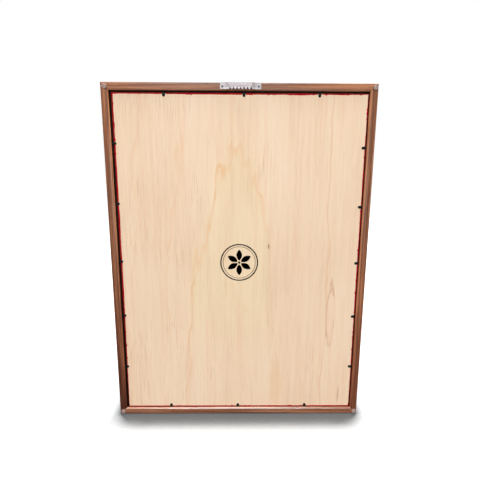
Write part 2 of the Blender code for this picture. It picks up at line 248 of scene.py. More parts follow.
def walnut_figure(s, spot):
    """The board's colour, with the streaks, threads and pores that its gloss and relief follow."""
    figure = s.noise(spot, (300, 12, 12), 3.0, 0.55, 0.5)
    streak = s.noise(spot, (170, 3.4, 3.4), 3.0, 0.62, 0.25)
    thread = s.noise(spot, (34, 0.55, 0.55), 2.0, 0.6)
    line = s.noise(spot, (240, 1.9, 1.9), 2.0, 0.5, 0.2)
    tone = s.total((figure, 0.50), (streak, 0.38), (thread, 0.12), (s.centred(line), 0.42))
    colour = s.ramp(
        tone,
        [
            (0.38, (0.095, 0.028, 0.010)),
            (0.45, (0.180, 0.060, 0.024)),
            (0.52, (0.290, 0.104, 0.044)),
            (0.61, (0.470, 0.200, 0.095)),
        ],
    )
    pores = s.band(s.noise(spot, (7.0, 0.26, 0.26), 1.0, 0.5), 0.60, 0.70)
    return s.mix(s.times(pores, 0.5), colour, (0.040, 0.013, 0.008)), streak, thread, pores


def inside_case(s, x, height_up):
    """1 inside the rails' outer faces, 0 on them."""
    across = s.math("SUBTRACT", HALF_WIDTH_MM, s.math("ABSOLUTE", x))
    from_middle = s.math("ABSOLUTE", s.math("SUBTRACT", height_up, HALF_HEIGHT_MM))
    from_end = s.math("SUBTRACT", HALF_HEIGHT_MM, from_middle)
    return s.band(s.math("MINIMUM", across, from_end), *INSIDE_RIM)


def from_hanger_middle(s, x):
    """How far to either side of the hanger's middle a point is, in millimetres."""
    return s.math("ABSOLUTE", s.math("SUBTRACT", x, HANGER_X_MM))


def under_hanger(s, x, depth, height_up):
    """1 on the wood behind the hanger's notches, which little light reaches."""
    return s.times(
        s.band(from_hanger_middle(s, x), 24.0, 27.0, 1.0, 0.0),
        s.band(height_up, HANGER_FOOT_MM - 0.4, HANGER_FOOT_MM + 0.9),
        s.band(height_up, HANGER_FOOT_MM + 5.0, HANGER_FOOT_MM + 6.0, 1.0, 0.0),
        s.band(depth, BACK_MM - 1.0, BACK_MM - 0.5),
    )


def walnut(
    name,
    grain_angle,
    seed,
    painted_shading=(1.0, 1.0),
    painted_shade_edge=(0.70, 0.90),
    coat=0.2,
    coat_ior=1.5,
    edge_highlight=1.0,
):
    """Satin lacquered walnut, its grain along X once the point is turned by grain_angle.

    painted_shading is how light the board's back edge is painted low down and at its upper end:
    painted shade below and painted light above. The walls of the back's recess are painted dark as
    painted shade, and painted_shade_edge is how far, as a share, a surface has turned towards the back
    where that painted shade starts to give out and where it ends. coat and coat_ior are how much lacquer
    the back edge has and how strongly it shines. edge_highlight is how much lighter the inner back
    rounding is painted, as a painted highlight.
    """
    s = Shader(name)
    place = s.place()
    x, depth, height_up = s.axes(place)
    facing_x, facing_y, facing_z = s.facing()
    colour, streak, thread, pores = walnut_figure(s, s.turned(place, grain_angle, seed))
    at_back = s.band(depth, *BACK_EDGE_DEPTHS)
    painted_shade_below, painted_light_above = painted_shading
    # Painted shade low down and painted light at the upper end, on the back edge only.
    shade = s.times(
        s.band(height_up, *PAINTED_SHADE_HEIGHTS, painted_shade_below, 1.0),
        s.band(height_up, *PAINTED_LIGHT_HEIGHTS, 1.0, painted_light_above),
    )
    shade = s.math("POWER", shade, at_back)
    colour = s.tinted(colour, shade, s.math("POWER", shade, GREEN_POWER), s.math("POWER", shade, BLUE_POWER))
    in_recess = s.times(s.band(depth, RECESS_MM - 1.0, RECESS_MM + 1.0), inside_case(s, x, height_up))
    inward = s.math("MAXIMUM", s.math("ABSOLUTE", facing_x), facing_z)
    highlighted = s.times(s.band(inward, *EDGE_HIGHLIGHT_TURN), in_recess)
    # Painted highlight on the inner back rounding.
    colour = s.tinted(colour, s.band(highlighted, 0.0, 1.0, 1.0, edge_highlight))
    # Painted shade: the recess's walls are painted dark.
    shaded_recess = s.times(s.band(s.math("ABSOLUTE", facing_y), *painted_shade_edge, 1.0, 0.0), in_recess)
    colour = s.mix(shaded_recess, colour, RECESS_PAINTED_SHADE)
    colour = s.mix(s.times(under_hanger(s, x, depth, height_up), 0.85), colour, UNDER_HANGER)
    lacquered = s.times(s.math("SUBTRACT", 1.0, shaded_recess), coat, at_back)
    return s.finish(
        {
            "Base Color": colour,
            "Roughness": s.band(streak, 0.3, 0.7, 0.42, 0.50),
            "Normal": s.bump(s.math("SUBTRACT", s.times(thread, 0.35), pores), 0.00012, 0.5),
            "Specular IOR Level": 0.25,
            "Coat IOR": coat_ior,
            "Coat Weight": s.math("MAXIMUM", lacquered, COAT_ELSEWHERE),
            "Coat Roughness": 0.24,
        }
    )


# ---------------------------------------- plywood

# Places on the panel in millimetres: x from the case's middle, z from its foot.
ARCH_X = 10.0
ARCH_LEG_CURVE = 21.0
ARCH_CROWN_Z = 560.0
SEAM_X = -171.0
TWO_PLIES = 2.54
# Blemishes, as the (x, z) of an oval's middle and its half sizes.
PIN_KNOT = ((-57.0, 357.0), (2.2, 7.0))
WARM_STAIN = ((-76.0, 70.0), (15.0, 66.0))
MINERAL_RING = ((-184.0, 218.0), (8.0, 58.0))
SHORT_STREAK = ((-208.0, 40.0), (2.2, 22.0))


def veneer_arches(s, spot, x, z):
    """Growth rings cut flat: nested arches whose legs crowd together towards both sides. One stands out.

    Gives the height of the crown of the arch that runs through each place, and how strong its line is.
    """
    sway = s.noise(spot, (170, 60, 60), 2.0, 0.5)
    jagged = s.noise(spot, (70, 12, 12), 2.0, 0.5)
    aside = s.math("ADD", s.math("SUBTRACT", x, ARCH_X), s.times(s.centred(sway), 60.0))
    crown = s.math("ADD", s.math("DIVIDE", s.times(aside, aside), ARCH_LEG_CURVE), z)
    crown = s.math("ADD", crown, s.times(s.centred(jagged), 140.0))
    ring = s.math("FRACT", s.math("LOGARITHM", s.math("DIVIDE", crown, ARCH_CROWN_Z), 2.0))
    line = s.times(
        s.band(ring, 0.86, 0.965),
        s.band(ring, 0.968, 0.985, 1.0, 0.0),
        s.band(crown, 620.0, 820.0, 0.76, 0.26),
        s.band(crown, 300.0, 430.0, 0.25, 1.0),
        s.band(x, -70.0, 10.0, 0.40, 1.0),
        s.band(s.noise(spot, (120, 30, 30), 2.0, 0.5), 0.38, 0.56, 0.45, 1.0),
    )
    return crown, line


def veneer_fibres(s, spot, x, colour):
    """Adds thin grey-brown fibres, gathered in patches towards +X, warm stripes and a seam."""
    patch = s.noise(spot, (150, 46, 46), 2.0, 0.5)
    patch = s.math("ADD", patch, s.band(x, 40.0, 130.0, -0.06, 0.07))
    fleck = s.band(s.noise(spot, (46, 1.3, 1.3), 2.0, 0.55), 0.54, 0.70)
    fleck = s.times(fleck, s.band(patch, 0.46, 0.64, 0.04, 0.54))
    colour = s.mix(fleck, colour, (0.62, 0.38, 0.225))
    warm = s.band(s.noise(spot, (230, 7.0, 7.0), 4.0, 0.62), 0.48, 0.68)
    warm = s.times(warm, s.band(s.noise(spot, (190, 55, 55), 1.0, 0.5), 0.42, 0.60, 0.03, 0.34))
    colour = s.mix(warm, colour, (0.80, 0.50, 0.33))
    wavy = s.times(s.centred(s.noise(spot, (110, 400, 400), 2.0, 0.5)), 26.0)
    from_seam = s.math("ABSOLUTE", s.math("ADD", s.math("SUBTRACT", x, SEAM_X), wavy))
    seam = s.times(s.band(from_seam, 0.5, 2.4, 1.0, 0.0), s.band(patch, 0.30, 0.50, 0.20, 0.45))
    return s.mix(seam, colour, (0.72, 0.42, 0.24))


def veneer_blemishes(s, spot, x, z, colour):
    """Adds a pin knot with a small dark heart, a warm stain, a mineral streak's ring and a short streak."""
    uneven = s.times(s.centred(s.noise(spot, (30, 6, 6), 2.0, 0.5)), 0.9)
    knot = s.band(s.oval(x, z, *PIN_KNOT), 0.15, 1.2, 0.78, 0.0)
    colour = s.mix(knot, colour, (0.28, 0.085, 0.030))
    stain = s.math("ADD", s.oval(x, z, *WARM_STAIN), uneven)
    colour = s.mix(s.band(stain, 0.3, 1.2, 0.42, 0.0), colour, (0.76, 0.48, 0.28))
    ring = s.math("ADD", s.oval(x, z, *MINERAL_RING), uneven)
    ring = s.band(s.math("ABSOLUTE", s.math("SUBTRACT", ring, 1.0)), 0.03, 0.22, 1.0, 0.0)
    broken = s.band(s.noise(spot, (40, 9, 9), 2.0, 0.5), 0.40, 0.60, 0.20, 0.60)
    colour = s.mix(s.times(ring, broken), colour, (0.56, 0.29, 0.16))
    short = s.math("ADD", s.oval(x, z, *SHORT_STREAK), uneven)
    return s.mix(s.band(short, 0.3, 1.2, 0.5, 0.0), colour, (0.45, 0.22, 0.14))


def plywood(name):
    """Pale bare veneer: fine upright fibres, a low-contrast arched figure, small blemishes and ply edges."""
    s = Shader(name)
    place = s.place()
    spot = s.turned(place, pi / 2, 0.0)
    x, y, z = s.axes(place)
    fibre = s.noise(spot, (16, 0.6, 0.6), 3.0, 0.6)
    thread = s.noise(spot, (60, 1.8, 1.8), 3.0, 0.6)
    streak = s.noise(spot, (260, 10, 10), 3.0, 0.6, 0.3)
    cloud = s.noise(spot, (240, 75, 75), 2.0, 0.5)
    colour = s.ramp(
        s.total((fibre, 0.24), (thread, 0.26), (streak, 0.22), (cloud, 0.28)),
        [
            (0.38, (0.755, 0.550, 0.388)),
            (0.47, (0.808, 0.618, 0.436)),
            (0.54, (0.832, 0.652, 0.470)),
            (0.64, (0.858, 0.696, 0.524)),
        ],
    )
    crown, line = veneer_arches(s, spot, x, z)
    colour = s.mix(line, colour, (0.77, 0.46, 0.23))
    # The heart of the arch is a little yellower, and the wood beside it a little pinker.
    heart = s.times(s.band(crown, 480.0, 640.0, 1.0, 0.0), s.band(z, 90.0, 260.0))
    colour = s.mix(1.0, colour, s.mix(heart, (1.004, 0.992, 1.003), (0.994, 1.010, 0.962)), "MULTIPLY")
    colour = veneer_fibres(s, spot, x, colour)
    colour = veneer_blemishes(s, spot, x, z, colour)
    # Painted light: the panel is painted a little paler towards its foot, which its light reaches less.
    colour = s.tinted(colour, s.band(z, 30.0, 330.0, 1.06, 1.02))
    # The panel's cut edges show its layers.
    cut = s.band(s.math("ABSOLUTE", s.facing()[1]), 0.35, 0.65, 1.0, 0.0)
    layer = s.band(s.math("FRACT", s.math("DIVIDE", y, TWO_PLIES)), 0.46, 0.54)
    colour = s.mix(cut, colour, s.mix(layer, (0.62, 0.40, 0.22), (0.80, 0.58, 0.38)))
    normal = s.bump(s.math("ADD", fibre, s.times(thread, 0.5)), 0.00006, 0.5)
    return s.finish({"Base Color": colour, "Roughness": 0.62, "Specular IOR Level": 0.3, "Normal": normal})


# ---------------------------------------- felt, metals, plastics, ink and floor


def felt(name):
    """Matted red wool-blend felt: a soft random lie of fibres, with fuzz that catches light at its edges."""
    s = Shader(name)
    place = s.place()
    fibre = s.noise(place, (0.55, 0.55, 0.55), 4.0, 0.7, 1.2)
    clump = s.noise(place, (6, 6, 6), 2.0, 0.5)
    colour = s.ramp(
        s.total((fibre, 0.6), (clump, 0.4)),
        [(0.34, (0.22, 0.001, 0.006)), (0.50, (0.42, 0.002, 0.012)), (0.68, (0.60, 0.008, 0.026))],
    )
    return s.finish(
        {
            "Base Color": colour,
            "Roughness": 0.95,
            "Specular IOR Level": 0.1,
            "Normal": s.bump(fibre, 0.0005, 0.8),
            "Sheen Weight": 0.06,
            "Sheen Roughness": 0.5,
            "Sheen Tint": (0.9, 0.25, 0.28, 1.0),
        }
    )


def zinc(name):
    """The hanger's zinc-plated stamped steel, slightly mottled, with fine rolling lines.

    It is darker along its top edge, has a painted highlight along its toothed edge, and has uneven painted
    shade on its rib's lower slope above the teeth.
    """
    s = Shader(name)
    place = s.place()
    x, _, height_up = s.axes(place)
    across = from_hanger_middle(s, x)
    mottle = s.noise(place, (2.4, 2.4, 2.4), 3.0, 0.6)
    lines = s.noise(place, (14, 0.16, 0.16), 2.0, 0.5)
    blotch = s.noise(place, (5.0, 2.0, 1.6), 3.0, 0.6)
    colour = s.ramp(mottle, [(0.35, (0.265, 0.243, 0.255)), (0.65, (0.44, 0.413, 0.425))])
    # Darker along the top edge.
    dark_top_edge = s.band(height_up, HANGER_TOP_MM - 1.5, HANGER_TOP_MM - 0.3, 0.0, 0.7)
    colour = s.mix(dark_top_edge, colour, (0.20, 0.195, 0.20))
    # Painted highlight along the toothed edge.
    teeth_highlight = s.times(
        s.band(height_up, HANGER_FOOT_MM + 1.8, HANGER_FOOT_MM + 3.6, 0.60, 0.0),
        s.band(across, 26.0, 30.0, 1.0, 0.15),
    )
    colour = s.mix(teeth_highlight, colour, (0.66, 0.64, 0.64))
    # Uneven painted shade on the rib's lower slope, above the teeth.
    rib = s.times(
        s.band(height_up, HANGER_FOOT_MM + 3.2, HANGER_FOOT_MM + 4.6),
        s.band(across, 21.0, 26.0, 1.0, 0.0),
        s.band(height_up, HANGER_FOOT_MM + 7.0, HANGER_FOOT_MM + 8.4, 1.0, 0.0),
        s.band(blotch, 0.40, 0.60, 0.25, 0.85),
    )
    colour = s.mix(rib, colour, (0.27, 0.225, 0.245))
    roughness = s.band(mottle, 0.3, 0.7, 0.42, 0.56)
    normal = s.bump(lines, 0.00003, 0.4)
    return s.finish({"Base Color": colour, "Metallic": 0.8, "Roughness": roughness, "Normal": normal})


def blued_steel(name):
    """Dark blued steel of the little nails, burnished where the hammer struck."""
    s = Shader(name)
    mottle = s.noise(s.place(), (0.9, 0.9, 0.9), 3.0, 0.6)
    colour = s.ramp(mottle, [(0.35, (0.045, 0.05, 0.075)), (0.65, (0.10, 0.11, 0.14))])
    roughness = s.band(mottle, 0.3, 0.7, 0.30, 0.48)
    normal = s.bump(mottle, 0.00004, 0.4)
    return s.finish({"Base Color": colour, "Metallic": 1.0, "Roughness": roughness, "Normal": normal})


def black_steel(name):
    """Thin blackened spring steel with a dull oil sheen."""
    s = Shader(name)
    mottle = s.noise(s.place(), (1.6, 1.6, 1.6), 3.0, 0.6)
    colour = s.ramp(mottle, [(0.35, (0.003, 0.003, 0.003)), (0.7, (0.009, 0.009, 0.009))])
    roughness = s.band(mottle, 0.3, 0.7, 0.42, 0.58)
    normal = s.bump(mottle, 0.00002, 0.3)
    return s.finish(
        {"Base Color": colour, "Specular IOR Level": 0.14, "Roughness": roughness, "Normal": normal}
    )


def bumper_rubber(name):
    """Clear soft polyurethane, a little milky, its colour a painted-in view of the walnut under it."""
    s = Shader(name)
    cloudy = s.noise(s.place(), (1.5, 1.5, 1.5), 2.0, 0.5)
    colour = s.ramp(cloudy, [(0.3, (0.42, 0.28, 0.24)), (0.7, (0.50, 0.36, 0.32))])
    return s.finish(
        {
            "Base Color": colour,
            "Roughness": 0.36,
            "IOR": 1.48,
            "Specular IOR Level": 0.35,
            "Transmission Weight": 0.25,
            "Subsurface Weight": 0.3,
            "Subsurface Radius": (0.002, 0.0015, 0.0012),
            "Subsurface Scale": 1.0,
        }
    )


def acrylic(name):
    """Clear polished sheet. Shadow rays pass through it, so that the inside stays lit."""
    s = Shader(name)
    faint = s.noise(s.place(), (90, 90, 90), 1.0, 0.5)
    sheet = s.add(
        "ShaderNodeBsdfPrincipled",
        {
            "Base Color": (0.98, 0.995, 0.995, 1.0),
            "Roughness": s.band(faint, 0.3, 0.7, 0.015, 0.03),
            "IOR": 1.49,
            "Transmission Weight": 1.0,
        },
    )
    clear = s.add("ShaderNodeBsdfTransparent", {0: (0.93, 0.95, 0.95, 1.0)})
    shadow = s.add("ShaderNodeLightPath").outputs["Is Shadow Ray"]
    either = s.add("ShaderNodeMixShader", {0: shadow, 1: sheet.outputs[0], 2: clear.outputs[0]})
    s.add("ShaderNodeOutputMaterial", {"Surface": either.outputs[0]})
    return s.material


def ink(name):
    """Matte black stamping ink, thinner where it has sunk into the grain."""
    s = Shader(name)
    spot = s.turned(s.place(), pi / 2, 3.0)
    thin = s.noise(spot, (9, 0.5, 0.5), 3.0, 0.6)
    colour = s.ramp(thin, [(0.30, (0.085, 0.060, 0.045)), (0.48, (0.012, 0.011, 0.012))])
    return s.finish({"Base Color": colour, "Roughness": 0.7, "Normal": s.bump(thin, 0.00002, 0.3)})


CONTACT_REACH = 0.076
BESIDE_CASE = (HALF_WIDTH_MM - 6.0, HALF_WIDTH_MM + 24.0)


def floor_paint(name):
    """A plain pale floor with a soft contact shadow along the case, fading into the white background.

    Only the camera sees it bright. Other rays meet a dark matte floor, so that little light comes up from it.
    """
    s = Shader(name)
    place = s.place()
    grain = s.noise(place, (40, 40, 40), 2.0, 0.5)
    openness = s.add("ShaderNodeAmbientOcclusion", {"Distance": CONTACT_REACH}, samples=8).outputs["AO"]
    beside = s.band(s.math("ABSOLUTE", s.axes(place)[0]), *BESIDE_CASE, 0.0, 0.85)
    open_floor = s.math("MAXIMUM", s.band(openness, 0.745, 0.985), beside)
    colour = s.ramp(grain, [(0.3, (0.58, 0.595, 0.61)), (0.7, (0.59, 0.605, 0.62))])
    shaded = s.mix(open_floor, (0.170, 0.182, 0.192), colour)
    seen = s.add("ShaderNodeLightPath").outputs["Is Camera Ray"]
    matte = s.add("ShaderNodeBsdfDiffuse", {0: s.mix(seen, (0.13, 0.13, 0.13), shaded)})
    away = s.add("ShaderNodeVectorMath", {0: place}, operation="LENGTH").outputs["Value"]
    lift = s.math("ADD", s.times(open_floor, 0.94), 0.06)
    lift = s.times(s.band(away, 300.0, 1300.0, 0.72, 1.0), lift, seen)
    glow = s.add("ShaderNodeEmission", {0: (1, 1, 1, 1), 1: lift})
    both = s.add("ShaderNodeAddShader", {0: matte.outputs[0], 1: glow.outputs[0]})
    s.add("ShaderNodeOutputMaterial", {"Surface": both.outputs[0]})
    return s.material


# The rails' finishes differ in grain, and each rail has its own painted shade, painted light and painted
# highlight.
WALNUT = {
    "bottom": walnut(
        "walnut_bottom", 0.0, 1.3, painted_shade_edge=(0.22, 0.42), coat=1.0, coat_ior=2.05, edge_highlight=2.0
    ),
    "top": walnut("walnut_top", 0.0, 4.1, coat=0.35),
    "left": walnut("walnut_left", pi / 2, 5.4, (0.46, 1.55), painted_shade_edge=(0.18, 0.42), edge_highlight=1.7),
    "right": walnut("walnut_right", pi / 2, 6.7, (0.24, 1.02), painted_shade_edge=(0.42, 0.66), edge_highlight=1.45),
    "slope_right": walnut("walnut_slope_right", -pi / 4, 5.0),
    "slope_left": walnut("walnut_slope_left", pi / 4, 7.9),
}
PLYWOOD = plywood("birch_plywood")
FELT = felt("red_felt")
ZINC = zinc("zinc_plate")
BLUED_STEEL = blued_steel("blued_nail")
BLACK_STEEL = black_steel("black_point_steel")
BUMPER = bumper_rubber("clear_bumper")
ACRYLIC = acrylic("clear_acrylic")
INK = ink("stamping_ink")


# ---------------------------------------- mesh helpers


def add_piece(name, shape, material, sharp):
    """Makes an object from a bmesh in the row frame, smooth except at edges sharper than an angle."""
    bmesh.ops.recalc_face_normals(shape, faces=shape.faces)
    mesh = bpy.data.meshes.new(name)
    shape.to_mesh(mesh)
    shape.free()
    piece = bpy.data.objects.new(name, mesh)
    bpy.context.scene.collection.objects.link(piece)
    mesh.shade_smooth()
    mesh.set_sharp_from_angle(angle=radians(sharp))
    mesh.materials.append(material)
    return piece


def round_edges(piece, width):
    """Eases a piece's edges, keeping its flat faces flat."""
    bevel = piece.modifiers.new("eased_edges", "BEVEL")
    bevel.width = width
    bevel.segments = 2
    bevel.limit_method = "ANGLE"
    bevel.angle_limit = radians(40)
    bevel.harden_normals = True


def stands_for(piece, nodes):
    """The piece rides on the case and replaces CAD nodes."""
    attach(piece, "case")
    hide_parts(*nodes)


def arc(centre_x, centre_y, radius, start, end, segments, height=None):
    """The points of an arc between two angles in degrees; a height makes it elliptical."""
    rise = radius if height is None else height
    points = []
    for step in range(segments + 1):
        angle = radians(start + (end - start) * step / segments)
        points.append((centre_x + radius * cos(angle), centre_y + rise * sin(angle)))
    return points


def loft(shape, rings, all_round=False):
    """Joins rings of the same number of points with quads. All round, the last joins the first."""
    made = [[shape.verts.new(point) for point in ring] for ring in rings]
    if all_round:
        made.append(made[0])
    count = len(made[0])
    for first, second in zip(made, made[1:]):
        for i in range(count):
            j = (i + 1) % count
            shape.faces.new((first[i], first[j], second[j], second[i]))
    if not all_round:
        shape.faces.new(list(reversed(made[0])))
        shape.faces.new(made[-1])


def turned_piece(node, suffix, profile, steps, material, sharp):
    """Turns a profile of (radius, height) points about the Y axis, from the foot of a node's box."""
    low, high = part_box(node)
    foot = Vector(((low.x + high.x) / 2, low.y, (low.z + high.z) / 2))
    angles = [2 * pi * step / steps for step in range(steps)]
    rings = []
    for radius, height in profile:
        rings.append([foot + Vector((radius * cos(turn), height, radius * sin(turn))) for turn in angles])
    shape = bmesh.new()
    loft(shape, rings)
    return add_piece(node + suffix, shape, material, sharp)


# ---------------------------------------- frame rails

INNER_BACK_ROUND_WIDTH = 5.0 * MM
INNER_BACK_ROUND_DEPTH = 3.0 * MM
OUTER_BACK_RADIUS = 2.0 * MM
FRONT_RADIUS = 1.5 * MM
MITRE_GAP = 0.05 * MM
RAIL_ROUNDING = 8
# The nodes that each rail stands for. The level ones also stand for the splines hidden in the mitres.
RAIL_NODES = {
    "bottom": ["rail_bottom", "spline_bottom_left", "spline_bottom_right"],
    "top": ["rail_top", "spline_top_left", "spline_top_right"],
    "left": ["rail_left"],
    "right": ["rail_right"],
}


def rail_outline():
    """The rail's section as (distance in from its outer face, depth) points."""
    outline = arc(OUTER_BACK_RADIUS, BACK_Y - OUTER_BACK_RADIUS, OUTER_BACK_RADIUS, 180, 90, RAIL_ROUNDING)
    inner = (WALL - INNER_BACK_ROUND_WIDTH, BACK_Y - INNER_BACK_ROUND_DEPTH)
    outline += arc(*inner, INNER_BACK_ROUND_WIDTH, 90, 0, RAIL_ROUNDING, INNER_BACK_ROUND_DEPTH)
    outline += [(WALL, LIP_Y), (RAIL, LIP_Y)]
    outline += arc(RAIL - FRONT_RADIUS, FRONT_Y + FRONT_RADIUS, FRONT_RADIUS, 0, -90, RAIL_ROUNDING)
    outline += arc(FRONT_RADIUS, FRONT_Y + FRONT_RADIUS, FRONT_RADIUS, -90, -180, RAIL_ROUNDING)
    return outline


def side_point(side, along, y, inward):
    """A point in the row frame from a side's own coordinates: along the side, depth, distance inward."""
    if side == "bottom":
        return (along, y, inward)
    if side == "top":
        return (-along, y, CASE_TOP - inward)
    if side == "right":
        return (HALF_WIDTH - inward, y, CENTRE_Z + along)
    return (-HALF_WIDTH + inward, y, CENTRE_Z - along)


def build_rails():
    """The four mitred rails, with rounded edges."""
    for side, nodes in RAIL_NODES.items():
        half = HALF_WIDTH if side in ("bottom", "top") else CASE_TOP / 2
        rings = []
        for end in (-1, 1):
            ring = [side_point(side, end * (half - at - MITRE_GAP), y, at) for at, y in rail_outline()]
            rings.append(ring)
        shape = bmesh.new()
        loft(shape, rings)
        piece = add_piece("frame_rail_" + side, shape, WALNUT[side], 30.0)
        stands_for(piece, nodes)


# ---------------------------------------- flexible points

POINT_HALF_WIDTH = 2.65 * MM
POINT_HALF_THICKNESS = 0.25 * MM
POINT_EDGE = POINT_HALF_THICKNESS * 0.35
POINT_BEND = 1.15 * MM
POINT_EXTRA = 0.7 * MM
POINT_HIDDEN = 1.0 * MM
POINT_CURL = 0.35 * MM
BEND_END = 1.9 * MM
STRIP_STEP = 0.22 * MM
TIP_STEPS = 7


def strip_stations(length):
    """(distance from the wall, half width) along a point, ending in a blunt round tip."""
    stations = []
    straight = length - POINT_HALF_WIDTH
    steps = int((straight + POINT_HIDDEN) / STRIP_STEP)
    for step in range(steps + 1):
        stations.append((-POINT_HIDDEN + (straight + POINT_HIDDEN) * step / steps, POINT_HALF_WIDTH))
    for step in range(1, TIP_STEPS):
        angle = pi / 2 * step / TIP_STEPS
        stations.append((straight + POINT_HALF_WIDTH * sin(angle), POINT_HALF_WIDTH * cos(angle)))
    return stations


def strip_section(half):
    """The strip's section at a half width, as (across, up) points: a thin bar with its corners cut."""
    thick = POINT_HALF_THICKNESS
    return [
        (-half + POINT_EDGE, -thick),
        (half - POINT_EDGE, -thick),
        (half, -thick + POINT_EDGE),
        (half, thick - POINT_EDGE),
        (half - POINT_EDGE, thick),
        (-half + POINT_EDGE, thick),
        (-half, thick - POINT_EDGE),
        (-half, -thick + POINT_EDGE),
    ]


def build_point(joint):
    """One flexible point as a single strip that runs across its joint, its tip curling up a little."""
    body = joint["child"]
    axis = Vector(joint["axis"])
    centre = Vector(joint["pos_m"])
    outward = Vector((0, 1, 0))
    inward = axis.cross(outward) * -1
    tab = frame["nodes"][body + "_tab"].data
    length = POINT_BEND + POINT_EXTRA + max((vertex.co - centre).dot(inward) for vertex in tab.vertices)
    rings = []
    for reach, half in strip_stations(length):
        spot = centre + inward * (reach - POINT_BEND)
        rise = POINT_CURL * max(0.0, (reach - 2 * BEND_END) / (length - 2 * BEND_END)) ** 2
        rings.append([spot + axis * across + outward * (up + rise) for across, up in strip_section(half)])
    shape = bmesh.new()
    loft(shape, rings)
    piece = add_piece(body + "_strip", shape, BLACK_STEEL, 50.0)
    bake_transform(piece)
    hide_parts(body + "_tab", body + "_shank")


# ---------------------------------------- felt

FELT_GAP = 0.25 * MM
FELT_EDGE_STEP = 0.7 * MM
FELT_SHY = 0.2 * MM
FELT_FOOT_Y = FELT_LOW.y + 1.6 * MM
FELT_SHEET_TOP_Y = FELT_LOW.y + 1.5 * MM
FELT_CORNER_BLEND = 12 * MM
POINT_CLEAR_HALF = 3.2 * MM
POINT_CLEAR_FADE = 1.2 * MM
# How long the waves, the nicks and the fraying of the felt's edge are, in millimetres along it.
WAVE_LENGTH = 38.0
NICK_LENGTH = 7.0
FRAY_LENGTH = 1.3
TUFT_START = 0.34
TUFT_REACH = 3.0 * MM
# How far the edge's top may be below or above the panel's face.
LOWEST_RISE = -0.6 * MM
HIGHEST_RISE = 4.6 * MM
RIPPLE = 0.12 * MM
# Each side of the panel: outward direction, how thick the felt's turned-up edge is, how far it stands above
# the panel's face, how far it leans in over the panel at the side's start and end, and how much more it does
# so half way.
FELT_SIDES = [
    ((0, -1), 1.3 * MM, 2.4 * MM, 0.3 * MM, 0.2 * MM, 0.0),
    ((1, 0), 0.7 * MM, 0.5 * MM, 0.1 * MM, 1.6 * MM, 1.3 * MM),
    ((0, 1), 0.8 * MM, 0.5 * MM, 1.1 * MM, 1.0 * MM, 1.1 * MM),
    ((-1, 0), 1.1 * MM, 1.1 * MM, 0.2 * MM, 0.1 * MM, 0.7 * MM),
]


def gap_beside(way):
    """The room between the panel's edge and the rail's wall on one side."""
    if way == (0, -1):
        return PANEL_LOW.z - WALL
    if way == (1, 0):
        return HALF_WIDTH - WALL - PANEL_HIGH.x
    if way == (0, 1):
        return CASE_TOP - WALL - PANEL_HIGH.z
    return PANEL_LOW.x + HALF_WIDTH - WALL


def perimeter():
    """Points round the panel's edge: place, outward direction, distance along, rise, lean and width."""
    corners = [
        (PANEL_LOW.x, PANEL_LOW.z),
        (PANEL_HIGH.x, PANEL_LOW.z),
        (PANEL_HIGH.x, PANEL_HIGH.z),
        (PANEL_LOW.x, PANEL_HIGH.z),
    ]
    points = []
    travelled = 0.0
    for index, (x, z) in enumerate(corners):
        next_x, next_z = corners[(index + 1) % len(corners)]
        length = sqrt((next_x - x) ** 2 + (next_z - z) ** 2)
        count = int(length / FELT_EDGE_STEP)
        way, thickness, rise, lean_start, lean_end, lean_middle = FELT_SIDES[index]
        before, thickness_before, rise_before = FELT_SIDES[index - 1][:3]
        for step in range(count):
            share = step / count
            place = (x + (next_x - x) * share, z + (next_z - z) * share)
            outward = (way[0] + before[0], way[1] + before[1]) if step == 0 else way
            like_before = max(0.0, 1.0 - length * share / FELT_CORNER_BLEND) / 2
            stand = rise * (1 - like_before) + rise_before * like_before
            width = thickness * (1 - like_before) + thickness_before * like_before
            width = min(gap_beside(way) - FELT_SHY, width)
            lean = lean_start + (lean_end - lean_start) * share + lean_middle * sin(pi * share)
            points.append((place, outward, travelled + length * share, stand, lean, width))
        travelled += length
    return points


def near_point(x, z):
    """1 beside a flexible point, falling to 0 a few millimetres away."""
    nearest = 1.0
    for joint in frame["joints"]:
        point_x, _, point_z = joint["pos_m"]
        nearest = min(nearest, sqrt((point_x - x) ** 2 + (point_z - z) ** 2))
    if nearest < POINT_CLEAR_HALF:
        return 1.0
    return max(0.0, 1.0 - (nearest - POINT_CLEAR_HALF) / POINT_CLEAR_FADE)


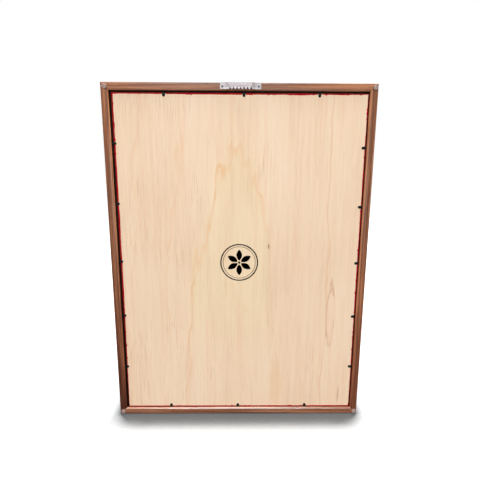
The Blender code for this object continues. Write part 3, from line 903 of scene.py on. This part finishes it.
def felt_edge_section(along, stand, lean, width, pressed):
    """The turned-up edge's section as (distance out from the panel's edge, depth) points."""
    millimetre = along / MM
    wave = noise.noise(Vector((millimetre / WAVE_LENGTH, 3.1, 0.0)))
    nick = noise.noise(Vector((millimetre / NICK_LENGTH, 9.4, 0.0)))
    fray = noise.noise(Vector((millimetre / FRAY_LENGTH, 5.7, 0.0)))
    rise = stand + (0.7 * wave + 0.4 * nick + 0.35 * fray) * MM
    tuft = max(0.0, nick + 0.4 * fray - TUFT_START) * TUFT_REACH
    over = max(0.1 * MM, lean * (1 + 0.5 * wave) + 0.25 * fray * MM + tuft)
    # Under a flexible point the edge is pressed down flat.
    rise = rise * (1 - pressed) - 0.15 * MM * pressed
    over = over * (1 - pressed)
    rise = max(LOWEST_RISE, min(HIGHEST_RISE, rise))
    top_y = PANEL_HIGH.y + max(rise, 0.45 * MM * min(1.0, over / (0.4 * MM)))
    if pressed > 0.5:
        top_y = PANEL_HIGH.y + rise
    near = FELT_GAP
    thick = min(width - near, max(0.3 * MM, width * (0.92 + 0.4 * wave + 0.25 * fray) - near))
    return [
        (near, FELT_FOOT_Y),
        (near, PANEL_HIGH.y - 0.5 * MM),
        (near - over, min(top_y - 0.3 * MM, PANEL_HIGH.y + 0.08 * MM)),
        (near - over * 0.9 + thick * 0.1, top_y - 0.06 * MM),
        (near + thick * 0.35, top_y),
        (near + thick * 0.72, top_y - 0.10 * MM),
        (near + thick, top_y - 0.5 * MM),
        (near + thick * 0.9, PANEL_HIGH.y - 1.4 * MM),
        (near + thick * 0.8, FELT_FOOT_Y),
    ]


def build_felt_edge():
    """The felt's cut edge, turned up round the panel: uneven in height and frayed along its top."""
    rings = []
    for (x, z), (out_x, out_z), along, stand, lean, width in perimeter():
        section = felt_edge_section(along, stand, lean, width, near_point(x, z))
        rings.append([(x + out_x * away, y, z + out_z * away) for away, y in section])
    shape = bmesh.new()
    loft(shape, rings, all_round=True)
    piece = add_piece("felt_turned_edge", shape, FELT, 60.0)
    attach(piece, "case")


def build_felt_sheet():
    """The felt under the panel, which is what shows behind the clear front."""
    shape = bmesh.new()
    bmesh.ops.create_grid(shape, x_segments=60, y_segments=80, size=0.5)
    for vertex in shape.verts:
        x = FELT_LOW.x + (vertex.co.x + 0.5) * (FELT_HIGH.x - FELT_LOW.x)
        z = FELT_LOW.z + (vertex.co.y + 0.5) * (FELT_HIGH.z - FELT_LOW.z)
        height = RIPPLE * noise.noise(Vector((x * 30, z * 30, 1.7)))
        vertex.co = (x, FELT_LOW.y + RIPPLE + height, z)
    back = bmesh.ops.extrude_face_region(shape, geom=shape.faces[:])
    for item in back["geom"]:
        if isinstance(item, bmesh.types.BMVert):
            item.co.y = FELT_SHEET_TOP_Y
    piece = add_piece("felt_sheet", shape, FELT, 50.0)
    stands_for(piece, ["backing_felt"])


# ---------------------------------------- hanger and nails

HANGER_FOOT_LENGTH = 8.4 * MM
HANGER_RAMP = 7.6 * MM
HANGER_LIFT = 1.35 * MM
HANGER_THICKNESS = 0.9 * MM
HANGER_CORNER = 1.2 * MM
NOTCH_COUNT = 7
NOTCH_PITCH = 6.2 * MM
NOTCH_MOUTH = 4.7 * MM
NOTCH_ROOF = 1.3 * MM
NOTCH_HEIGHT = 2.8 * MM
MERGE_DISTANCE = 0.01 * MM
# The strip's section, from its lower edge to its upper one: a share of its height, and how far its face
# bulges there, in millimetres.
HANGER_SECTION = [
    (0.0, 0.35),
    (0.24, 0.12),
    (0.31, 0.0),
    (0.50, 0.08),
    (0.62, 0.22),
    (0.72, 0.25),
    (0.90, 0.05),
    (1.0, 0.0),
]
NAIL_HEAD = 0.8 * MM
NAIL_HEAD_STEPS = 6
NAIL_SHANK_SHARE = 0.37


def station(x):
    """A place along the strip, rounded so that equal places meet."""
    return round(x, 7)


def hanger_stations(half):
    """Where the strip's outline or its lift changes: its lower edge's height at each place along it."""
    stations = {}
    for index in range(NOTCH_COUNT):
        middle = (index - (NOTCH_COUNT - 1) / 2) * NOTCH_PITCH
        for side in (-1, 1):
            stations[station(middle + side * NOTCH_MOUTH / 2)] = 0.0
            stations[station(middle + side * NOTCH_ROOF / 2)] = NOTCH_HEIGHT
    ramp_top = half - HANGER_FOOT_LENGTH - HANGER_RAMP
    ramp_middle = half - HANGER_FOOT_LENGTH - HANGER_RAMP / 2
    foot_middle = half - HANGER_FOOT_LENGTH / 2
    for x in (half, half - HANGER_CORNER, half - HANGER_FOOT_LENGTH, ramp_top, ramp_middle, foot_middle):
        for side in (-1, 1):
            stations.setdefault(station(side * x), 0.0)
    for index in range(NOTCH_COUNT + 1):
        stations.setdefault(station((index - NOTCH_COUNT / 2) * NOTCH_PITCH), 0.0)
    return stations


def build_hanger():
    """The stamped sawtooth strip: flat feet, a raised middle with a rib, and notches along its lower edge."""
    half = (HANGER_HIGH.x - HANGER_LOW.x) / 2
    full = HANGER_HIGH.z - HANGER_LOW.z
    stations = hanger_stations(half)
    shape = bmesh.new()
    rows = []
    for x in sorted(stations):
        away = max(0.0, min(1.0, (half - HANGER_FOOT_LENGTH - abs(x)) / HANGER_RAMP))
        raised = HANGER_LIFT * (away + away * away * (3 - 2 * away)) / 2
        inset = HANGER_CORNER * 0.6 if abs(x) > half - HANGER_CORNER / 2 else 0.0
        row = []
        for level, bulge in HANGER_SECTION:
            z = HANGER_LOW.z + max(stations[x], level * full)
            z = min(max(z, HANGER_LOW.z + inset), HANGER_HIGH.z - inset)
            y = HANGER_LOW.y + raised + bulge * MM * away
            row.append(shape.verts.new((HANGER_X + x, y, z)))
        rows.append(row)
    for first, second in zip(rows, rows[1:]):
        for i in range(len(HANGER_SECTION) - 1):
            shape.faces.new((first[i], first[i + 1], second[i + 1], second[i]))
    bmesh.ops.remove_doubles(shape, verts=shape.verts, dist=MERGE_DISTANCE)
    piece = add_piece("sawtooth_strip", shape, ZINC, 40.0)
    solid = piece.modifiers.new("plate", "SOLIDIFY")
    solid.thickness = HANGER_THICKNESS
    solid.offset = 1.0
    round_edges(piece, 0.15 * MM)
    stands_for(piece, ["sawtooth_hanger"])


def build_nails():
    """The two small nails, their domed heads a little flattened by the hammer."""
    for node in ("hanger_nail_left", "hanger_nail_right"):
        low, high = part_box(node)
        radius = (high.x - low.x) / 2
        shank = radius * NAIL_SHANK_SHARE
        under = high.y - low.y - NAIL_HEAD
        profile = [(shank * 0.15, 0.0), (shank, 3 * shank), (shank, under), (radius * 0.94, under)]
        for step in range(NAIL_HEAD_STEPS + 1):
            angle = pi / 2 * step / NAIL_HEAD_STEPS
            across = radius * max(0.12, cos(angle) ** 0.7)
            profile.append((across, under + NAIL_HEAD * (0.15 + 0.85 * sin(angle))))
        piece = turned_piece(node, "_turned", profile, 28, BLUED_STEEL, 40.0)
        stands_for(piece, [node])


# ---------------------------------------- bumpers

BUMPER_SUNK = 0.25 * MM
BUMPER_STEPS = 10


def build_bumpers():
    """The four soft domes at the corners, a little sunk into the wood's finish."""
    for node in ("bumper_bottom_left", "bumper_bottom_right", "bumper_top_left", "bumper_top_right"):
        low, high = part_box(node)
        radius = (high.x - low.x) / 2
        rise = high.y - low.y
        profile = [(radius * 0.97, -BUMPER_SUNK), (radius, rise * 0.10), (radius * 0.99, rise * 0.30)]
        for step in range(1, BUMPER_STEPS + 1):
            angle = pi / 2 * step / BUMPER_STEPS
            profile.append((radius * (0.50 + 0.49 * cos(angle)), rise * (0.30 + 0.70 * sin(angle))))
        profile.append((radius * 0.25, rise))
        piece = turned_piece(node, "_dome", profile, 40, BUMPER, 60.0)
        stands_for(piece, [node])


# ---------------------------------------- panel stamp

STAMP_X = 0.0
STAMP_Z = 0.325
STAMP_Y = PANEL_HIGH.y + 0.05 * MM
STAMP_THICKNESS = 0.04 * MM
STAMP_STEPS = 96
OUTER_RING = (34.6 * MM, 37.0 * MM)
INNER_RING = (31.0 * MM, 31.9 * MM)
MIDDLE_DOT = (0.2 * MM, 2.3 * MM)
PETALS = 6
PETAL_START = 3.6 * MM
PETAL_LENGTH = 22.0 * MM
PETAL_WIDTH = 11.0 * MM
PETAL_STEPS = 14


def flat_ring(shape, inner, outer):
    """A flat ring on the panel."""
    rows = []
    for radius in (inner, outer):
        row = []
        for step in range(STAMP_STEPS):
            angle = 2 * pi * step / STAMP_STEPS
            spot = (STAMP_X + radius * cos(angle), STAMP_Y, STAMP_Z + radius * sin(angle))
            row.append(shape.verts.new(spot))
        rows.append(row)
    for i in range(STAMP_STEPS):
        j = (i + 1) % STAMP_STEPS
        shape.faces.new((rows[0][i], rows[1][i], rows[1][j], rows[0][j]))


def flat_petal(shape, angle):
    """One pointed petal, pointing away from the stamp's middle."""
    outline = []
    for step in range(PETAL_STEPS + 1):
        share = step / PETAL_STEPS
        outline.append((PETAL_START + PETAL_LENGTH * share, PETAL_WIDTH / 2 * sin(pi * share) ** 0.8))
    outline += [(along, -across) for along, across in reversed(outline[1:-1])]
    verts = []
    for along, across in outline:
        x = STAMP_X + along * cos(angle) - across * sin(angle)
        z = STAMP_Z + along * sin(angle) + across * cos(angle)
        verts.append(shape.verts.new((x, STAMP_Y, z)))
    shape.faces.new(verts)


def build_stamp():
    """A plain round ink stamp: two rings and a rosette."""
    shape = bmesh.new()
    flat_ring(shape, *OUTER_RING)
    flat_ring(shape, *INNER_RING)
    for petal in range(PETALS):
        flat_petal(shape, pi / PETALS + petal * 2 * pi / PETALS)
    flat_ring(shape, *MIDDLE_DOT)
    bmesh.ops.solidify(shape, geom=shape.faces[:], thickness=STAMP_THICKNESS)
    piece = add_piece("panel_stamp", shape, INK, 30.0)
    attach(piece, "case")


# ---------------------------------------- boards that keep their CAD shape


def dress(node, material, edge):
    """A CAD node keeps its shape and gets a finish and eased edges."""
    part = frame["nodes"][node]
    part.data.materials.clear()
    part.data.materials.append(material)
    round_edges(part, edge)


def dress_boards():
    """The panel, liners, dividers and clear sheet keep their CAD shapes."""
    dress("backing_board", PLYWOOD, 0.4 * MM)
    for side in ("bottom", "top", "left", "right"):
        dress("liner_" + side, WALNUT[side], 0.3 * MM)
    dress("flag_shelf", WALNUT["top"], 0.6 * MM)
    dress("flag_rail_right", WALNUT["slope_right"], 0.6 * MM)
    dress("flag_rail_left", WALNUT["slope_left"], 0.6 * MM)
    dress("front_glazing", ACRYLIC, 0.3 * MM)


# ---------------------------------------- stage: floor, light and camera

CAMERA_LENS = 25.77
CAMERA_DISTANCE = 0.6476
CAMERA_RISE = 0.1588
CAMERA_X = 0.0048
CAMERA_PITCH = radians(10.07)
CAMERA_YAW = radians(-0.50)
CAMERA_ROLL = radians(-0.22)
FLOOR_SIZE = 60.0
FLOOR_DROP = 0.5 * MM
FILL_COLOUR = (0.96, 0.98, 1.0, 1.0)
FILL_STRENGTH = 0.12
WHITE = (1.0, 1.0, 1.0)
# Each soft light: size across, size up, power, place and colour. All aim at the middle of the case.
LIGHTS = {
    "key": (1.8, 1.2, 60.0, (0.3, 3.4, 2.4), (1.0, 0.985, 0.96)),
    "low_panel": (1.8, 0.9, 58.0, (0.0, 3.0, 0.30), (1.0, 0.985, 0.97)),
    "overhead": (1.3, 0.6, 22.0, (0.1, 0.2, 2.2), (1.0, 0.99, 0.98)),
    "front_key": (2.8, 2.2, 112.0, (-1.3, -2.4, 3.0), (1.0, 0.985, 0.96)),
    "front_fill": (1.4, 1.4, 12.0, (1.8, -1.8, 0.9), WHITE),
    "side_left": (1.2, 1.6, 16.0, (-2.4, -0.5, 1.3), WHITE),
    "side_right": (1.2, 1.6, 16.0, (2.4, -0.5, 1.3), WHITE),
    "front_strip": (0.35, 1.7, 2.2, (-0.75, -2.2, 0.8), WHITE),
}


def build_floor():
    """A large pale floor under the case."""
    bpy.ops.mesh.primitive_plane_add(size=FLOOR_SIZE, location=(0, 0, -FLOOR_DROP))
    floor = bpy.context.object
    floor.name = "floor"
    floor.data.materials.append(floor_paint("pale_floor"))


def build_world():
    """White to the camera, and a dimmer even light for everything else."""
    world = bpy.data.worlds.new("studio")
    bpy.context.scene.world = world
    world.use_nodes = True
    nodes, links = world.node_tree.nodes, world.node_tree.links
    nodes.clear()
    seen = nodes.new("ShaderNodeLightPath")
    white = nodes.new("ShaderNodeBackground")
    white.inputs[0].default_value = (*WHITE, 1.0)
    white.inputs[1].default_value = 1.0
    fill = nodes.new("ShaderNodeBackground")
    fill.inputs[0].default_value = FILL_COLOUR
    fill.inputs[1].default_value = FILL_STRENGTH
    either = nodes.new("ShaderNodeMixShader")
    output = nodes.new("ShaderNodeOutputWorld")
    links.new(seen.outputs["Is Camera Ray"], either.inputs[0])
    links.new(fill.outputs[0], either.inputs[1])
    links.new(white.outputs[0], either.inputs[2])
    links.new(either.outputs[0], output.inputs[0])


def build_lights():
    """Soft panels: a high and a low one behind the camera, one overhead, two aside and three in front."""
    middle = Vector((0.0, 0.0, CENTRE_Z))
    for name, (across, up, power, location, colour) in LIGHTS.items():
        light = bpy.data.lights.new(name, "AREA")
        light.shape = "RECTANGLE"
        light.size = across
        light.size_y = up
        light.energy = power
        light.color = colour
        holder = bpy.data.objects.new(name, light)
        bpy.context.scene.collection.objects.link(holder)
        holder.location = location
        aim = middle - Vector(location)
        holder.rotation_euler = aim.to_track_quat("-Z", "Y").to_euler()


def build_camera():
    """A wide camera behind the case, a little above its middle and tipped down."""
    camera = bpy.data.cameras.new("camera")
    camera.lens = CAMERA_LENS
    holder = bpy.data.objects.new("camera", camera)
    bpy.context.scene.collection.objects.link(holder)
    holder.location = (CAMERA_X, BACK_Y + CAMERA_DISTANCE, CENTRE_Z + CAMERA_RISE)
    holder.rotation_euler = (pi / 2 - CAMERA_PITCH, CAMERA_ROLL, pi + CAMERA_YAW)
    bpy.context.scene.camera = holder


build_rails()
for case_joint in frame["joints"]:
    build_point(case_joint)
build_felt_sheet()
build_felt_edge()
build_hanger()
build_nails()
build_bumpers()
build_stamp()
dress_boards()
build_floor()
build_world()
build_lights()
build_camera()
bpy.context.scene.view_settings.view_transform = "Standard"
